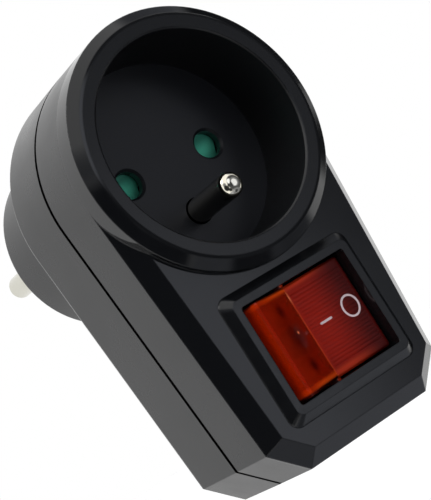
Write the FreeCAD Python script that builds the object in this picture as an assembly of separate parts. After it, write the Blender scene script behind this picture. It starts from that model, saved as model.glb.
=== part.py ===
import FreeCAD, Part
import math
import os

from FreeCAD import Vector

# A switched plug adapter: a round socket with an earth pin and child shutters in front,
# a round plug behind, and a tail below it with an illuminated two-pole rocker switch.
#
# It is drawn lying on its back: X to the right, Y up from the tail to the socket and Z out
# of the wall. The origin is where the plug's axis meets the face that lies on the wall.
# Each piece is then stood up, so that Z is up and the socket looks along -Y.
# All sizes are in millimetres and degrees.

# Outline of the body
body_radius = 25.0            # round part, at its widest
tail_length = 58.8            # plug axis to the tail's end
tail_taper = 4.5              # each side of the tail draws in by this angle
tail_corner = 6.0             # legs of the cuts across the tail's corners
edge_chamfer = 3.0            # bevel round the tail's front face, at 45 degrees
body_depth = 31.5             # wall face to the socket's rim
collar_height = 2.5           # how far the rim stands above the tail's face
collar_bevel_height = 1.5
rim_radius = 22.9             # outer edge of the flat rim
rim_chamfer = 0.3
parting_drop = 0.3            # the shells meet this far behind the back of the recess
parting_inset = 0.15          # draft of each shell, measured at the parting line
wall_face_inset = 0.45        # draft of the rear shell, measured where its edge round starts
groove = 0.3                  # bevel on both shells that makes the dark parting line
wall_edge_round = 1.0         # round of the edge on the wall, made as two bevels
shell_wall = 2.0
lip_width = 0.9               # lip of the rear shell that enters the front shell's tail
lip_height = 1.4
lip_depth = 2.0               # how far the lip is rooted below the parting line
lip_top_y = -6.0              # the lip's upper ends
past = 1.0                    # how far a cut runs past the face that it opens

# Socket recess
recess_radius = 20.1          # at the rim
recess_floor_radius = 19.6
recess_depth = 14.4
recess_wall = 1.6
recess_floor = 2.0
pin_spacing = 19.0            # standard distance between the two live pins
pin_radius = 2.4              # standard 4.8 mm pins
pin_length = 19.0
pin_root_radius = 2.6         # thicker root of a pin, inside the wall that holds it
pin_hole_radius = 2.65
pin_hole_lead_in = 0.45
earth_offset = 10.0           # earth pin's distance below the line of the live pins
earth_pin_reach = 14.2        # earth pin above the recess floor
earth_tip_round = 1.8
visible_tip_tapers = 4        # tapers that round the tip of the pin in the recess
tip_tapers = 2                # tapers that round the other tips
earth_collar_height = 1.4
fit_gap = 0.1                 # between still pieces that are slipped together
press_gap = 0.03              # between still pieces that are pressed together
seat_gap = 0.3                # between pieces that lie loosely beside each other
root_overlap = 0.5            # how far a stub is rooted in the wall that carries it
running_gap = 0.06            # round a shaft that turns
slide_gap = 0.2               # beside a piece that slides

# Plug
plug_radius = 18.2
plug_reach = 21.2             # plug face behind the wall face
plug_face = 4.0
plug_wall = 2.7
plug_edge_chamfer = 0.8
pin_tip_round = 1.1
pin_collar_radius = 3.2
pin_collar_height = 4.2
pin_neck_radius = 1.9
pin_head_height = 0.8

# Shutter
shutter_travel = 6.3
shutter_pad_width = 7.4
shutter_pad_height = 6.6
shutter_thickness = 4.85
shutter_low_edge = 0.9        # thickness that is left at the foot of each ramp
shutter_web_height = 3.3
shutter_flat = 0.8            # flat at the top of each ramp
spring_nub_length = 1.5
retainer_thickness = 1.0
retainer_reach = 15.6         # upper end of the retainer above the pin line
retainer_half_width = 18.0
retainer_lip = 1.1
retainer_margin = 2.0         # plate beyond the slider's pads
retainer_plate_top = 9.6      # upper edge of the wide part
retainer_tongue_width = 9.0
retainer_stop_width = 7.0
retainer_stop_drop = 1.0      # the stop is this much lower than the slider's face
retainer_ear_height = 5.0
retainer_post_radius = 1.5
retainer_post_x = 16.2
retainer_post_y = 6.0
rail_thickness = 0.8
shutter_spring_wire = 0.2     # radius
shutter_spring_radius = 1.6
shutter_spring_turns = 7
spring_runs = 10              # straight runs that make one turn of a spring

# Contacts and bars
sheet = 0.8                   # brass strip
contact_radius = 3.3
contact_bore = 2.5
contact_slit = 1.2
contact_slit_start = 2.5      # above the contact's foot
lug_length = 5.0
bar_height = 2.9
supply_bar_x = 4.6
crossing_bar_rise = 6.5       # the crossing bar above the supply bars
crossing_bar_y = -25.0
outer_bar_x = 14.5
riser_y = -11.8
riser_width = 3.6
landing_height = 2.8          # flat of the supply bar above its riser
landing_width = 1.8
lug_inset = 0.5               # each load bar stops this far from its contact
carrier_thickness = 5.0
carrier_gap = 0.3
earth_tube_radius = 3.2
earth_tube_bore = 2.5
earth_tube_inset = 0.4        # mouth of the tube behind the plug face
earth_tube_end = 1.2
earth_bridge_width = 7.0
earth_bridge_overhang = 1.5   # its ends beyond the earth tube

# Screws, from behind
neck_screw_inset = 6.6        # from the side of the round part
neck_screw_y = -18.5
tail_screw_x = 12.5
tail_screw_inset = 5.2        # from the tail's end
screw_radius = 1.4
screw_length = 14.0
screw_head_radius = 2.6
screw_head_height = 1.9
screw_seat = 8.0              # seat of the heads above the wall face
rear_boss_radius = 3.4
front_boss_radius = 2.8

# Switch
switch_y = -39.1              # centre of the switch below the plug's axis
switch_opening_x = 24.6
switch_opening_y = 19.4
bezel_ring = 1.5              # flat top of the bezel
bezel_slope = 1.65            # its sides slope out by as much as it is high
switch_body_x = 27.8
switch_body_y = 21.8
switch_floor = 1.4
bezel_foot_corner = 2.2
bezel_top_corner = 1.4
opening_corner = 0.6
cutout_gap = 0.2
snap_reach = 0.8
snap_width = 8.0
snap_height = 3.0
pole_offset = 5.3             # each pole's distance from the switch's centre
tab_width = 6.3
tab_reach = 4.6
tab_clearance = 2.0           # tabs above the rear shell's wall
tab_thickness = 0.8
load_terminal_x = 9.5
ledge_height = 1.3            # step on the floor under the blades' free ends
ledge_lap = 1.4
divider_thickness = 1.2       # wall between the two poles
divider_rise = 4.0            # its top above the blades
fulcrum_ear = 0.3             # ears of the fulcrum above a level blade
foot_thickness = 0.4
foot_width = 3.6
button_radius = 1.5
closed_gap = 0.04             # between closed contacts

# Rocker
rocker_width = 18.6
rocker_pivot_depth = 6.5      # pivot below the bezel's top
rocker_valley = 2.0           # crease above the pivot
rocker_reach = 12.1           # pivot to the rocker's ends
rocker_swing = 9.5            # either way from its middle position
rocker_shoulder = 5.97        # top corner above the pivot
rocker_skirt_angle = 10.0
rocker_wall = 1.2
rocker_wall_slant = 1.15      # a wing's wall, measured upright, over its thickness
rocker_edge_chamfer = 0.4
trunnion_radius = 1.5
trunnion_reach = 1.15
rib_pitch = 0.7
rib_depth = 0.16
rib_margin = 1.3
rib_start = 0.3               # from the crease
rib_end = 0.9                 # from the wing's end
barrel_radius = 2.1
barrel_bore = 1.5
barrel_reach = 6.0
plunger_radius = 1.4
plunger_top = 4.0             # upper end of a plunger below the pivot
plunger_spring_wire = 0.18
plunger_spring_radius = 1.1
plunger_spring_turns = 4
plunger_tip_round = 1.3
lamp_radius = 2.0
lamp_length = 6.2
lamp_drop = 1.2               # lamp's axis below the pivot
lamp_tip_round = 0.9
resistor_radius = 1.0
resistor_length = 5.6
resistor_x = 6.5
lead_radius = 0.25
lead_inset = 0.3              # from the resistor's ends
lead_rise = 0.6               # where a lead meets the lamp, above the lamp's axis

# Moving contacts
blade_half_length = 10.0
blade_width = 4.6
blade_thickness = 0.8
blade_swing = 6.0             # either way from level
blade_rise = 2.5              # fulcrum above the switch's floor
rivet_radius = 1.3
rivet_height = 0.6
rivet_x = 9.2
blade_gap = 0.1

# Heights above the wall face that follow from these sizes
face_height = body_depth - collar_height
chamfer_foot = face_height - edge_chamfer
recess_floor_height = body_depth - recess_depth
recess_back = recess_floor_height - recess_floor
parting_height = recess_back - parting_drop
bezel_top = face_height + bezel_slope
pivot_height = bezel_top - rocker_pivot_depth
inside_top = face_height - shell_wall
tab_bottom = shell_wall + tab_clearance
switch_back = tab_bottom + tab_reach
switch_floor_top = switch_back + switch_floor
blade_pivot_height = switch_floor_top + blade_rise
plunger_reach = pivot_height - blade_pivot_height - blade_thickness - fit_gap
half_spacing = pin_spacing / 2
plug_inner_face = -(plug_reach - plug_face)
plug_inner_radius = plug_radius - plug_wall
shutter_top = recess_back - fit_gap - 0.05
shutter_bottom = shutter_top - shutter_thickness
retainer_top = shutter_bottom - slide_gap
retainer_bottom = retainer_top - retainer_thickness
contact_top = retainer_bottom - slide_gap
pin_neck_bottom = plug_inner_face + pin_collar_height
carrier_bottom = pin_neck_bottom + sheet + pin_head_height + fit_gap
carrier_top = carrier_bottom + carrier_thickness
bridge_bottom = carrier_top + fit_gap
bridge_top = bridge_bottom + sheet
supply_bar_z = tab_bottom
load_bar_top = min(switch_back, contact_top - fit_gap)    # below switch and shutter
load_bar_z = load_bar_top - bar_height
crossing_bar_z = supply_bar_z + crossing_bar_rise
poles = {"upper": switch_y + pole_offset, "lower": switch_y - pole_offset}
sides = {"left": -1, "right": 1}
screw_places = [
    Vector(side * x, y, 0)
    for x, y in ((body_radius - neck_screw_inset, neck_screw_y),
                 (tail_screw_x, tail_screw_inset - tail_length))
    for side in sides.values()
]


def block(x1, x2, y1, y2, z1, z2):
    """A box between two values on each axis, given in either order."""
    corner = Vector(min(x1, x2), min(y1, y2), min(z1, z2))
    return Part.makeBox(abs(x2 - x1), abs(y2 - y1), abs(z2 - z1), corner)


def rod(x, y, z1, z2, radius):
    """A round rod along Z."""
    return Part.makeCylinder(radius, z2 - z1, Vector(x, y, z1))


def rod_along_y(x, z, y1, y2, radius):
    """A round rod along Y."""
    return Part.makeCylinder(radius, y2 - y1, Vector(x, y1, z), Vector(0, 1, 0))


def join(shapes):
    """One solid from pieces that touch or overlap."""
    return shapes[0].fuse(shapes[1:]).removeSplitter()


def turned_tip(start, direction, radius, rounding, count):
    """The end of a round piece, with its edge rounded in a few short tapers."""
    tapers = []
    turn = math.radians(90 / count)
    for step in range(count):
        near = turn * step
        far = turn * (step + 1)
        begin = start + direction * (rounding * math.sin(near))
        tapers.append(Part.makeCone(
            radius - rounding * (1 - math.cos(near)), radius - rounding * (1 - math.cos(far)),
            rounding * (math.sin(far) - math.sin(near)), begin, direction))
    return tapers


def ring_edges(shape, radius, height):
    """The full circles of a given radius at a given height."""
    chosen = []
    for edge in shape.Edges:
        if not isinstance(edge.Curve, Part.Circle):
            continue
        if abs(edge.Curve.Radius - radius) < 0.01 and abs(edge.Curve.Center.z - height) < 0.01:
            chosen.append(edge)
    return chosen


def rounded_rectangle(width, height, radius, z, centre_y=0.0):
    """A closed wire, centred on X = 0 and on the given Y."""
    points = []
    quarter = radius * (1 - math.sqrt(0.5))
    edges = []
    corners = ((1, -1), (1, 1), (-1, 1), (-1, -1))
    for x_sign, y_sign in corners:
        corner = Vector(x_sign * width / 2, centre_y + y_sign * height / 2, z)
        along_x = corner - Vector(x_sign * radius, 0, 0)
        along_y = corner - Vector(0, y_sign * radius, 0)
        middle = corner - Vector(x_sign * quarter, y_sign * quarter, 0)
        first, last = (along_x, along_y) if x_sign * y_sign < 0 else (along_y, along_x)
        edges.append(Part.Arc(first, middle, last).toShape())
        points.append((first, last))
    for index, (first, last) in enumerate(points):
        following = points[(index + 1) % len(points)][0]
        edges.append(Part.LineSegment(last, following).toShape())
    return Part.Wire(Part.__sortEdges__(edges))


def body_outline(inset, z, round_top=True):
    """The adapter's outline, drawn in by an inset: an arc, two tapering sides that leave
    it at a tangent, two corner cuts and an end. Without the arc it is the tail alone."""
    taper = math.radians(tail_taper)
    radius = body_radius - inset
    end = -(tail_length - inset)
    cut = tail_corner - inset * (2 - math.sqrt(2))
    shoulder = Vector(radius * math.cos(taper), -radius * math.sin(taper), z)
    side_low = Vector(radius / math.cos(taper) + (end + cut) * math.tan(taper), end + cut, z)
    end_side = Vector(radius / math.cos(taper) + end * math.tan(taper) - cut, end, z)
    right = [shoulder, side_low, end_side]
    left = [Vector(-point.x, point.y, z) for point in reversed(right)]
    points = right + left
    edges = [Part.LineSegment(a, b).toShape() for a, b in zip(points, points[1:])]
    if round_top:
        edges.append(Part.Arc(left[-1], Vector(0, radius, z), right[0]).toShape())
    else:
        edges.append(Part.LineSegment(left[-1], right[0]).toShape())
    return Part.Wire(edges)


def coil_spring(start, axis, length, coil_radius, wire_radius, turns):
    """An open coil spring about a line along an axis: one unbroken tube with six sides,
    bent in short straight runs."""
    axis = Vector(axis).normalize()
    across = axis.cross(Vector(1, 0, 0))
    across.normalize()
    aside = axis.cross(across)
    rise = (length - 2 * wire_radius) / turns
    points = []
    for run in range(spring_runs * turns + 1):
        angle = 2 * math.pi * run / spring_runs
        out = across * (coil_radius * math.cos(angle)) + aside * (coil_radius * math.sin(angle))
        points.append(start + axis * (wire_radius + rise * run / spring_runs) + out)
    tangent = (points[1] - points[0]).normalize()
    upward = tangent.cross(across).normalize()
    section = []
    for corner in range(7):
        angle = math.radians(60 * corner + 30)
        section.append(points[0] + across * (wire_radius * math.cos(angle))
                       + upward * (wire_radius * math.sin(angle)))
    mitred = 1
    path = Part.makePolygon(points)
    spring = path.makePipeShell([Part.makePolygon(section)], True, False, mitred)
    print("coil spring: gap between turns %.2f mm" % (rise - 2 * wire_radius))
    return spring


def make_front_shell():
    """Socket recess, raised collar and the tail's front, open at the back."""
    low = parting_height
    outer = Part.makeLoft([
        body_outline(parting_inset + groove, low),
        body_outline(parting_inset, low + groove),
        body_outline(0, chamfer_foot),
    ], True, True)
    tail_top = Part.makeLoft([
        body_outline(0, chamfer_foot, False),
        body_outline(edge_chamfer, face_height, False),
    ], True, True)
    bevel_foot = body_depth - collar_bevel_height
    collar = rod(0, 0, chamfer_foot, bevel_foot, body_radius)
    bevel = Part.makeCone(body_radius, rim_radius, collar_bevel_height, Vector(0, 0, bevel_foot))
    shell = join([outer, tail_top, collar, bevel])

    hollow = Part.makeLoft([
        body_outline(shell_wall, low - past),
        body_outline(shell_wall, chamfer_foot - shell_wall / 2),
    ], True, True)
    hollow_top = Part.makeLoft([
        body_outline(shell_wall, chamfer_foot - shell_wall / 2),
        body_outline(shell_wall + edge_chamfer - shell_wall / 2, inside_top),
    ], True, True)
    cup = rod(0, 0, recess_back, body_depth, recess_radius + recess_wall)
    shell = shell.cut(join([hollow, hollow_top]).cut(cup))
    recess = Part.makeCone(
        recess_floor_radius, recess_radius, recess_depth, Vector(0, 0, recess_floor_height))
    shell = shell.cut(recess)
    rim_edges = ring_edges(shell, rim_radius, body_depth)
    rim_edges += ring_edges(shell, recess_radius, body_depth)
    shell = shell.makeChamfer(rim_chamfer, rim_edges)

    adds = []
    for place in screw_places:
        adds.append(rod(place.x, place.y, low, inside_top + fit_gap, front_boss_radius))
    for side in sides.values():
        adds.append(rod(side * retainer_post_x, retainer_post_y, retainer_bottom,
                        recess_back + fit_gap, retainer_post_radius))
        rail_x = side * (half_spacing + shutter_pad_width / 2 + slide_gap)
        adds.append(block(rail_x, rail_x + side * rail_thickness, -shutter_pad_height / 2,
                          shutter_pad_height / 2 + shutter_travel,
                          retainer_top + slide_gap, recess_back + fit_gap))
    shell = join([shell] + adds)

    for place in screw_places:
        depth = screw_seat + screw_length + past
        shell = shell.cut(rod(place.x, place.y, low - past, depth, screw_radius + press_gap))
    for side in sides.values():
        x = side * half_spacing
        shell = shell.cut(rod(x, 0, recess_back - past, recess_floor_height + past,
                              pin_hole_radius))
        lead_in = Part.makeCone(pin_hole_radius, pin_hole_radius + pin_hole_lead_in,
                                pin_hole_lead_in,
                                Vector(x, 0, recess_floor_height - pin_hole_lead_in))
        shell = shell.cut(lead_in)
    shell = shell.cut(rod(0, -earth_offset, recess_back - past, recess_floor_height + past,
                          pin_root_radius + press_gap))
    cutout = block(-switch_body_x / 2 - cutout_gap, switch_body_x / 2 + cutout_gap,
                   switch_y - switch_body_y / 2 - cutout_gap,
                   switch_y + switch_body_y / 2 + cutout_gap,
                   inside_top - past, face_height + past)
    return shell.cut(cutout)


def make_rear_shell():
    """The half that lies on the wall, with the hollow plug body standing out of it."""
    high = parting_height
    half_way = wall_edge_round * (1 - math.sqrt(0.5))
    outer = Part.makeLoft([
        body_outline(wall_face_inset + wall_edge_round, 0),
        body_outline(wall_face_inset + half_way, half_way),
        body_outline(wall_face_inset, wall_edge_round),
        body_outline(parting_inset, high - groove),
        body_outline(parting_inset + groove, high),
    ], True, True)
    plug = rod(0, 0, -plug_reach, shell_wall, plug_radius)
    plug = plug.makeChamfer(plug_edge_chamfer, ring_edges(plug, plug_radius, -plug_reach))
    shell = join([outer, plug])

    hollow = Part.makeLoft([
        body_outline(shell_wall + wall_face_inset, shell_wall + root_overlap),
        body_outline(shell_wall + parting_inset, high + past),
    ], True, True)
    plug_hollow = rod(0, 0, plug_inner_face, shell_wall + past, plug_inner_radius)
    shell = shell.cut(hollow).cut(plug_hollow)

    lip_outer = shell_wall + parting_inset + fit_gap
    lip_inner = lip_outer + lip_width
    lip = Part.makeLoft([body_outline(lip_outer, high - lip_depth),
                         body_outline(lip_outer, high + lip_height)], True, True)
    lip = lip.cut(Part.makeLoft([body_outline(lip_inner, high - lip_depth - past),
                                 body_outline(lip_inner, high + lip_height + past)], True, True))
    lip = lip.cut(block(-body_radius, body_radius, lip_top_y, body_radius,
                        high - lip_depth - past, high + lip_height + past))
    for place in screw_places:
        lip = lip.cut(rod(place.x, place.y, high, high + lip_height + past,
                          front_boss_radius + slide_gap))
    bosses = [rod(p.x, p.y, shell_wall / 2, high - fit_gap, rear_boss_radius)
              for p in screw_places]
    shell = join([shell, lip] + bosses)
    for place in screw_places:
        shell = shell.cut(rod(place.x, place.y, -past, screw_seat, screw_head_radius + slide_gap))
        shell = shell.cut(rod(place.x, place.y, -past, high + past, screw_radius + slide_gap))

    for side in sides.values():
        shell = shell.cut(rod(side * half_spacing, 0, -plug_reach - past, plug_inner_face + past,
                              pin_root_radius + press_gap))
    earth_hole = rod(0, -earth_offset, -plug_reach - past, plug_inner_face + past,
                     earth_tube_radius + press_gap)
    return shell.cut(earth_hole)


def make_housing_screws():
    """Four equal self-tapping screws, pushed in from behind."""
    screws = []
    for place in screw_places:
        head = rod(place.x, place.y, screw_seat - screw_head_height, screw_seat, screw_head_radius)
        shank = rod(place.x, place.y, screw_seat, screw_seat + screw_length, screw_radius)
        screws.append(join([head, shank]))
    return Part.makeCompound(screws)


def make_socket_earth_pin():
    """The male earth pin, held behind the recess floor and resting on the earth bridge."""
    tip_start = Vector(0, -earth_offset, recess_floor_height + earth_pin_reach - earth_tip_round)
    pin = rod(0, -earth_offset, recess_floor_height, tip_start.z, pin_radius)
    root = rod(0, -earth_offset, recess_back, recess_floor_height, pin_root_radius)
    collar = rod(0, -earth_offset, recess_back - earth_collar_height, recess_back,
                 pin_collar_radius)
    shank = rod(0, -earth_offset, bridge_top, recess_back - earth_collar_height,
                pin_neck_radius)
    return join([pin, root, collar, shank]
                + turned_tip(tip_start, Vector(0, 0, 1), pin_radius, earth_tip_round,
                             visible_tip_tapers))


def make_plug_pin(side):
    """One plug pin: rounded tip, shank, root and collar at the plug face, riveted neck."""
    x = side * half_spacing
    tip_start = Vector(x, 0, -(plug_reach + pin_length - pin_tip_round))
    shank = rod(x, 0, tip_start.z, -plug_reach, pin_radius)
    root = rod(x, 0, -plug_reach, plug_inner_face, pin_root_radius)
    collar = rod(x, 0, plug_inner_face, pin_neck_bottom, pin_collar_radius)
    neck = rod(x, 0, pin_neck_bottom, pin_neck_bottom + sheet, pin_neck_radius)
    head = rod(x, 0, pin_neck_bottom + sheet, pin_neck_bottom + sheet + pin_head_height,
               pin_collar_radius)
    return join([shank, root, collar, neck, head]
                + turned_tip(tip_start, Vector(0, 0, -1), pin_radius, pin_tip_round, tip_tapers))


def make_socket_contact(side):
    """A slit brass tube that grips an inserted pin, with a flat lug for its bar."""
    x = side * half_spacing
    foot = carrier_top + fit_gap
    tube = rod(x, 0, foot, contact_top, contact_radius)
    lug = block(x - sheet / 2, x + sheet / 2, -contact_radius - lug_length,
                -(contact_radius + contact_bore) / 2, load_bar_z, load_bar_z + bar_height)
    tube = join([tube, lug])
    tube = tube.cut(rod(x, 0, foot + sheet, contact_top + past, contact_bore))
    slit = block(x - contact_slit / 2, x + contact_slit / 2, 0, contact_radius + past,
                 foot + contact_slit_start, contact_top + past)
    return tube.cut(slit)


def make_supply_bar(side, pole_y):
    """Brass bar from a plug pin, up out of the plug body and along to a switch terminal."""
    ring = rod(half_spacing, 0, pin_neck_bottom, pin_neck_bottom + sheet, pin_collar_radius)
    riser_back = riser_y - sheet
    riser_x = supply_bar_x + riser_width
    landing_y = riser_y + landing_height
    pieces = [
        ring,
        block(riser_x - landing_width, half_spacing + root_overlap, landing_y, 0,
              pin_neck_bottom, pin_neck_bottom + sheet),
        block(supply_bar_x, riser_x, riser_back, landing_y,
              pin_neck_bottom, pin_neck_bottom + sheet),
        block(supply_bar_x, riser_x, riser_back, riser_y,
              pin_neck_bottom, supply_bar_z + bar_height),
        block(supply_bar_x, supply_bar_x + sheet, pole_y - tab_width / 2, riser_y,
              supply_bar_z, supply_bar_z + bar_height),
        block(tab_thickness / 2, supply_bar_x + sheet, pole_y - tab_width / 2,
              pole_y - tab_width / 2 + sheet, supply_bar_z, supply_bar_z + bar_height),
        block(tab_thickness / 2, tab_thickness / 2 + sheet, pole_y - tab_width / 2,
              pole_y + tab_width / 4, supply_bar_z, supply_bar_z + bar_height),
    ]
    bar = join(pieces)
    bar = bar.cut(rod(half_spacing, 0, pin_neck_bottom - past, pin_neck_bottom + sheet + past,
                      pin_neck_radius + press_gap))
    if side < 0:
        bar = bar.mirror(Vector(0, 0, 0), Vector(1, 0, 0))
    return bar


def make_right_load_bar():
    """Straight bar from the upper pole's load terminal to the right socket contact."""
    x = half_spacing + sheet / 2
    return block(x, x + sheet, poles["upper"] - tab_width / 2, -contact_radius - lug_inset,
                 load_bar_z, load_bar_z + bar_height)


def make_left_load_bar():
    """Bar from the lower pole's load terminal, round and over the others, to the left."""
    x = half_spacing + sheet / 2
    top = load_bar_z + bar_height
    crossing_top = crossing_bar_z + bar_height
    far_y = crossing_bar_y - sheet
    start_y = poles["lower"] + tab_width / 2
    return join([
        block(x, x + sheet, poles["lower"] - tab_width / 2, start_y, load_bar_z, top),
        block(x, outer_bar_x + sheet, start_y - sheet, start_y, load_bar_z, top),
        block(outer_bar_x, outer_bar_x + sheet, start_y - sheet, crossing_bar_y, load_bar_z, top),
        block(outer_bar_x, outer_bar_x + sheet, far_y - bar_height, crossing_bar_y,
              load_bar_z, crossing_top),
        block(-x - sheet, outer_bar_x + sheet, far_y, crossing_bar_y,
              crossing_bar_z, crossing_top),
        block(-x - sheet, -x, far_y, crossing_bar_y + bar_height, load_bar_z, crossing_top),
        block(-x - sheet, -x, far_y, -contact_radius - lug_inset, load_bar_z, top),
    ])


def make_plug_earth_tube():
    """Female earth contact in the plug face, for the earth pin of a wall socket."""
    tube = rod(0, -earth_offset, -plug_reach + earth_tube_inset, bridge_bottom,
               earth_tube_radius)
    return tube.cut(rod(0, -earth_offset, -plug_reach - past, bridge_bottom - earth_tube_end,
                        earth_tube_bore))


def make_earth_bridge():
    """Flat plate on the contact carrier that joins the earth pin to the earth tube."""
    reach = earth_tube_radius + earth_bridge_overhang
    return block(-earth_bridge_width / 2, earth_bridge_width / 2, -earth_offset - reach,
                 -earth_offset + reach, bridge_bottom, bridge_top)


def make_contact_carrier():
    """Insulating disc in the plug body that the socket contacts stand on."""
    disc = rod(0, 0, carrier_bottom, carrier_top, plug_inner_radius - carrier_gap)
    disc = disc.cut(rod(0, -earth_offset, carrier_bottom - past, carrier_top + past,
                        earth_tube_radius + fit_gap))
    for side in sides.values():
        notch = block(side * (supply_bar_x - slide_gap),
                      side * (supply_bar_x + riser_width + slide_gap),
                      -plug_inner_radius, riser_y + slide_gap,
                      carrier_bottom - past, carrier_top + past)
        disc = disc.cut(notch)
    return disc


def make_shutter_slider():
    """Two ramped pads on a web: pins pushed in together drive it up and off the holes."""
    half_height = shutter_pad_height / 2
    profile = Part.makePolygon([
        Vector(0, -half_height, shutter_bottom),
        Vector(0, half_height, shutter_bottom),
        Vector(0, half_height, shutter_top),
        Vector(0, half_height - shutter_flat, shutter_top),
        Vector(0, -half_height, shutter_bottom + shutter_low_edge),
        Vector(0, -half_height, shutter_bottom),
    ])
    pads = []
    for side in sides.values():
        pad = Part.Face(profile).extrude(Vector(shutter_pad_width, 0, 0))
        pad.translate(Vector(side * half_spacing - shutter_pad_width / 2, 0, 0))
        pads.append(pad)
    inner = half_spacing - shutter_pad_width / 2
    web = block(-inner, inner, half_height - shutter_web_height, half_height,
                shutter_bottom, shutter_top)
    nub_z = (shutter_bottom + shutter_top) / 2
    nub = rod_along_y(0, nub_z, half_height, half_height + spring_nub_length,
                      shutter_spring_radius - shutter_spring_wire - slide_gap)
    return join([web, nub] + pads)


def make_shutter_spring():
    """Spring between the slider's web and the retainer's upper lip."""
    start_y = shutter_pad_height / 2 + press_gap
    end_y = retainer_reach - retainer_lip - press_gap
    centre = Vector(0, start_y, (shutter_bottom + shutter_top) / 2)
    return coil_spring(centre, Vector(0, 1, 0), end_y - start_y, shutter_spring_radius,
                       shutter_spring_wire, shutter_spring_turns)


def make_shutter_retainer():
    """Plate behind the slider, staked to two posts of the front shell."""
    stop_y = -shutter_pad_height / 2 - seat_gap
    stop_foot = stop_y - retainer_lip
    half_width = half_spacing + shutter_pad_width / 2 + retainer_margin
    half_tongue = retainer_tongue_width / 2
    half_stop = retainer_stop_width / 2
    half_ear = retainer_ear_height / 2
    plate = join([
        block(-half_width, half_width, stop_foot, retainer_plate_top,
              retainer_bottom, retainer_top),
        block(-half_tongue, half_tongue, 0, retainer_reach, retainer_bottom, retainer_top),
        block(-retainer_half_width, retainer_half_width, retainer_post_y - half_ear,
              retainer_post_y + half_ear, retainer_bottom, retainer_top),
        block(-half_tongue, half_tongue, retainer_reach - retainer_lip, retainer_reach,
              retainer_bottom, shutter_top),
        block(-half_stop, half_stop, stop_foot, stop_y,
              retainer_bottom, shutter_top - retainer_stop_drop),
    ])
    for side in sides.values():
        plate = plate.cut(rod(side * half_spacing, 0, retainer_bottom - past,
                              retainer_top + past, contact_bore + seat_gap))
        plate = plate.cut(rod(side * retainer_post_x, retainer_post_y, retainer_bottom - past,
                              retainer_top + past, retainer_post_radius + press_gap))
    return plate


def make_switch_housing():
    """Open box with a sloping bezel, snap lugs, pivot holes and slots for the terminals."""
    base_x = switch_opening_x + 2 * (bezel_ring + bezel_slope)
    base_y = switch_opening_y + 2 * (bezel_ring + bezel_slope)
    top_x = switch_opening_x + 2 * bezel_ring
    top_y = switch_opening_y + 2 * bezel_ring
    bezel = Part.makeLoft([
        rounded_rectangle(base_x, base_y, bezel_foot_corner, face_height, switch_y),
        rounded_rectangle(top_x, top_y, bezel_top_corner, bezel_top, switch_y),
    ], True, True)
    body = block(-switch_body_x / 2, switch_body_x / 2, switch_y - switch_body_y / 2,
                 switch_y + switch_body_y / 2, switch_back, face_height + fit_gap)
    snaps = []
    snap_top = inside_top - fit_gap
    for side in sides.values():
        x = side * switch_body_x / 2
        wedge = Part.makePolygon([
            Vector(x, switch_y - snap_width / 2, snap_top),
            Vector(x + side * snap_reach, switch_y - snap_width / 2, snap_top),
            Vector(x, switch_y - snap_width / 2, snap_top - snap_height),
            Vector(x, switch_y - snap_width / 2, snap_top),
        ])
        snaps.append(Part.Face(wedge).extrude(Vector(0, snap_width, 0)))
    housing = join([bezel, body] + snaps)
    opening = rounded_rectangle(switch_opening_x, switch_opening_y, opening_corner,
                                switch_floor_top, switch_y)
    depth = bezel_top - switch_floor_top + past
    housing = housing.cut(Part.Face(opening).extrude(Vector(0, 0, depth)))

    half_x = switch_opening_x / 2 + fit_gap
    half_y = switch_opening_y / 2 + fit_gap
    ledge = block(-half_x, -blade_half_length + ledge_lap, switch_y - half_y, switch_y + half_y,
                  switch_floor_top - fit_gap, switch_floor_top + ledge_height)
    divider = block(-blade_half_length, blade_half_length,
                    switch_y - divider_thickness / 2, switch_y + divider_thickness / 2,
                    switch_floor_top - fit_gap, blade_pivot_height + divider_rise)
    housing = join([housing, ledge, divider])
    half_body = switch_body_y / 2
    pivot = rod_along_y(0, pivot_height, switch_y - half_body - past,
                        switch_y + half_body + past, trunnion_radius + running_gap)
    housing = housing.cut(pivot)
    for pole_y in poles.values():
        for x in (0, load_terminal_x):
            slot = block(x - tab_thickness / 2 - press_gap, x + tab_thickness / 2 + press_gap,
                         pole_y - tab_width / 2 - press_gap, pole_y + tab_width / 2 + press_gap,
                         switch_back - past, switch_floor_top + press_gap)
            housing = housing.cut(slot)
    return housing


def make_common_terminal(pole_y):
    """Flat tab whose upper edge is the fulcrum of a moving contact, between two ears."""
    half = tab_thickness / 2
    top = blade_pivot_height - blade_gap
    tab = block(-half, half, pole_y - tab_width / 2, pole_y + tab_width / 2, tab_bottom, top)
    ears = []
    for sign in (-1, 1):
        inner = pole_y + sign * (blade_width / 2 + slide_gap)
        outer = pole_y + sign * tab_width / 2
        ears.append(block(-half, half, inner, outer, top, top + blade_thickness + fulcrum_ear))
    return join([tab] + ears)


def make_load_terminal(pole_y):
    """Flat tab with a foot on the housing floor that carries the fixed contact."""
    half = tab_thickness / 2
    x = load_terminal_x
    foot_top = switch_floor_top + foot_thickness
    tab = block(x - half, x + half, pole_y - tab_width / 2, pole_y + tab_width / 2,
                tab_bottom, switch_floor_top)
    foot = block(x - foot_width / 2, x + foot_width / 2, pole_y - blade_width / 2,
                 pole_y + blade_width / 2, switch_floor_top, foot_top)
    swing = math.radians(blade_swing)
    rivet_edge = rivet_x + rivet_radius
    closed = blade_pivot_height - rivet_edge * math.sin(swing) - rivet_height * math.cos(swing)
    button = rod(rivet_x, pole_y, foot_top, closed - closed_gap, button_radius)
    return join([tab, foot, button])


def tilt(shape, pivot_z, degrees):
    """Turn a piece about a line along Y through X = 0; positive lowers its right end."""
    turned = shape.copy()
    turned.rotate(Vector(0, 0, pivot_z), Vector(0, 1, 0), degrees)
    return turned


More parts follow.
